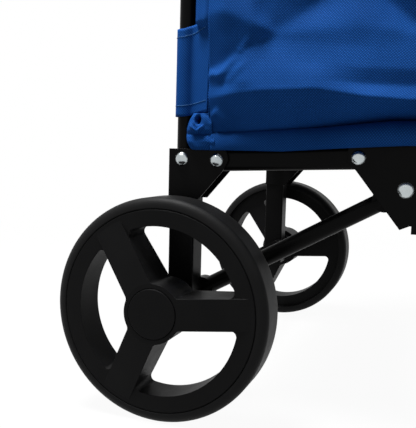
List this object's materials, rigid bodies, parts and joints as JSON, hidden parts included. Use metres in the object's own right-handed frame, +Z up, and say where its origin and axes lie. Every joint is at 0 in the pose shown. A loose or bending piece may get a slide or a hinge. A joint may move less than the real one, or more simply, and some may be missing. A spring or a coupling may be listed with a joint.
{
  "type": "shopping trolley on wheels",
  "caption": "Folding fabric trolley: open blue cloth bag on a black linkage frame, large fixed wheels behind, swivel casters in front and a telescopic pull handle.",
  "frame": {"origin": "floor level under the middle of the bounding box", "axes": "+X forward to the pull handle, +Y to the trolley's left, +Z up"},
  "size_m": [0.6, 0.5066, 0.6708],
  "materials": {
    "frame_black": "satin powder coat",
    "rivet_chrome": "bright",
    "zinc_steel": "zinc plated",
    "tyre_black": "smooth matte",
    "wheel_plastic": "fine grain",
    "cloth_blue": "coated woven polyester",
    "strap_black": "webbing",
    "floor_board": "black hardboard",
    "grip_black": "soft matte",
    "handle_alloy": "brushed"
  },
  "bodies": {
    "rear_frame": {"rear_hoop": "frame_black", "rear_leg_l": "frame_black", "rear_leg_r": "frame_black", "rear_bracket_l": "frame_black", "rear_bracket_r": "frame_black", "rear_cross_tube": "frame_black", "rear_axle": "zinc_steel", "rear_axle_spacers": "wheel_plastic", "rear_axle_nuts": "zinc_steel", "rear_rivets": "rivet_chrome", "bag_rear_panel": "cloth_blue", "bag_side_l": "cloth_blue", "bag_side_r": "cloth_blue", "rear_post_tabs": "cloth_blue"},
    "rear_rails": {"rear_rail_l": "frame_black", "rear_rail_r": "frame_black", "rear_floor_board": "floor_board"},
    "centre": {"centre_plates_outer": "frame_black", "centre_plates_inner": "frame_black", "centre_cross_tube": "frame_black", "centre_rivets": "rivet_chrome", "centre_spacers": "zinc_steel", "centre_floor_board": "floor_board", "fold_strap": "strap_black"},
    "front_rails": {"front_rail_l": "frame_black", "front_rail_r": "frame_black", "front_floor_board": "floor_board"},
    "front_frame": {"front_hoop": "frame_black", "front_leg_l": "frame_black", "front_leg_r": "frame_black", "front_bracket_l": "frame_black", "front_bracket_r": "frame_black", "front_cross_tube": "frame_black", "caster_housings": "wheel_plastic", "front_rivets": "rivet_chrome", "bag_front_panel": "cloth_blue", "front_post_tabs": "cloth_blue", "handle_bracket": "frame_black", "handle_pivot_pin": "rivet_chrome"},
    "handle": {"handle_tube": "frame_black"},
    "handle_slide": {"handle_inner_tube": "handle_alloy", "handle_grip": "grip_black"},
    "rear_strut_l": {"rear_strut_l": "frame_black"},
    "front_strut_l": {"front_strut_l": "frame_black"},
    "rear_wheel_l": {"rear_rim_l": "wheel_plastic", "rear_tyre_l": "tyre_black", "rear_hub_cap_l": "wheel_plastic"},
    "caster_l": {"caster_fork_l": "frame_black", "caster_axle_l": "zinc_steel"},
    "front_wheel_l": {"front_rim_l": "wheel_plastic", "front_tyre_l": "tyre_black"},
    "rear_strut_r": {"rear_strut_r": "frame_black"},
    "front_strut_r": {"front_strut_r": "frame_black"},
    "rear_wheel_r": {"rear_rim_r": "wheel_plastic", "rear_tyre_r": "tyre_black", "rear_hub_cap_r": "wheel_plastic"},
    "caster_r": {"caster_fork_r": "frame_black", "caster_axle_r": "zinc_steel"},
    "front_wheel_r": {"front_rim_r": "wheel_plastic", "front_tyre_r": "tyre_black"}
  },
  "joints": [
    {"name": "fold", "type": "hinge", "parent": "rear_frame", "child": "rear_rails", "pos_m": [-0.166, 0, 0.2326], "axis": [0, -1, 0], "range_deg": [0, 80], "deforming": ["bag_side_l", "bag_side_r"]},
    {"name": "centre_pivot", "type": "hinge", "parent": "rear_rails", "child": "centre", "pos_m": [-0.0394, 0, 0.2381], "axis": [0, -1, 0], "range_deg": [-80, 0]},
    {"name": "front_rail_pivot", "type": "hinge", "parent": "centre", "child": "front_rails", "pos_m": [0.0794, 0, 0.2381], "axis": [0, -1, 0], "range_deg": [-80, 0]},
    {"name": "front_frame_pivot", "type": "hinge", "parent": "front_rails", "child": "front_frame", "pos_m": [0.206, 0, 0.2326], "axis": [0, -1, 0], "range_deg": [0, 80]},
    {"name": "rear_strut_pivot_l", "type": "hinge", "parent": "centre", "child": "rear_strut_l", "pos_m": [0.0001, 0.153, 0.2122], "axis": [0, -1, 0], "range_deg": [0, 39.58]},
    {"name": "front_strut_pivot_l", "type": "hinge", "parent": "centre", "child": "front_strut_l", "pos_m": [0.0399, 0.153, 0.2122], "axis": [0, -1, 0], "range_deg": [-49.73, 0]},
    {"name": "rear_wheel_spin_l", "type": "hinge", "parent": "rear_frame", "child": "rear_wheel_l", "pos_m": [-0.2, 0.222, 0.1], "axis": [0, 1, 0], "continuous": true},
    {"name": "caster_swivel_l", "type": "hinge", "parent": "front_frame", "child": "caster_l", "pos_m": [0.24, 0.177, 0.14], "axis": [0, 0, 1], "continuous": true},
    {"name": "front_wheel_spin_l", "type": "hinge", "parent": "caster_l", "child": "front_wheel_l", "pos_m": [0.21, 0.177, 0.06], "axis": [0, 1, 0], "continuous": true},
    {"name": "rear_strut_pivot_r", "type": "hinge", "parent": "centre", "child": "rear_strut_r", "pos_m": [0.0001, -0.153, 0.2122], "axis": [0, -1, 0], "range_deg": [0, 39.58]},
    {"name": "front_strut_pivot_r", "type": "hinge", "parent": "centre", "child": "front_strut_r", "pos_m": [0.0399, -0.153, 0.2122], "axis": [0, -1, 0], "range_deg": [-49.73, 0]},
    {"name": "rear_wheel_spin_r", "type": "hinge", "parent": "rear_frame", "child": "rear_wheel_r", "pos_m": [-0.2, -0.222, 0.1], "axis": [0, 1, 0], "continuous": true},
    {"name": "caster_swivel_r", "type": "hinge", "parent": "front_frame", "child": "caster_r", "pos_m": [0.24, -0.177, 0.14], "axis": [0, 0, 1], "continuous": true},
    {"name": "front_wheel_spin_r", "type": "hinge", "parent": "caster_r", "child": "front_wheel_r", "pos_m": [0.21, -0.177, 0.06], "axis": [0, 1, 0], "continuous": true},
    {"name": "handle_tilt", "type": "hinge", "parent": "front_frame", "child": "handle", "pos_m": [0.288, 0, 0.2326], "axis": [0, 1, 0], "range_deg": [0, 95]},
    {"name": "handle_extend", "type": "slide", "parent": "handle", "child": "handle_slide", "axis": [-0.0765, 0, 0.9971], "range_m": [0, 0.28]}
  ],
  "couplings": [
    {"joint": "centre_pivot", "follows": "fold", "ratio": -1},
    {"joint": "front_rail_pivot", "follows": "fold", "ratio": -1},
    {"joint": "front_frame_pivot", "follows": "fold", "ratio": 1},
    {"joint": "rear_strut_pivot_l", "follows": "fold", "ratio": 0.49413},
    {"joint": "front_strut_pivot_l", "follows": "fold", "ratio": -0.62098},
    {"joint": "rear_strut_pivot_r", "follows": "fold", "ratio": 0.49413},
    {"joint": "front_strut_pivot_r", "follows": "fold", "ratio": -0.62098}
  ]
}
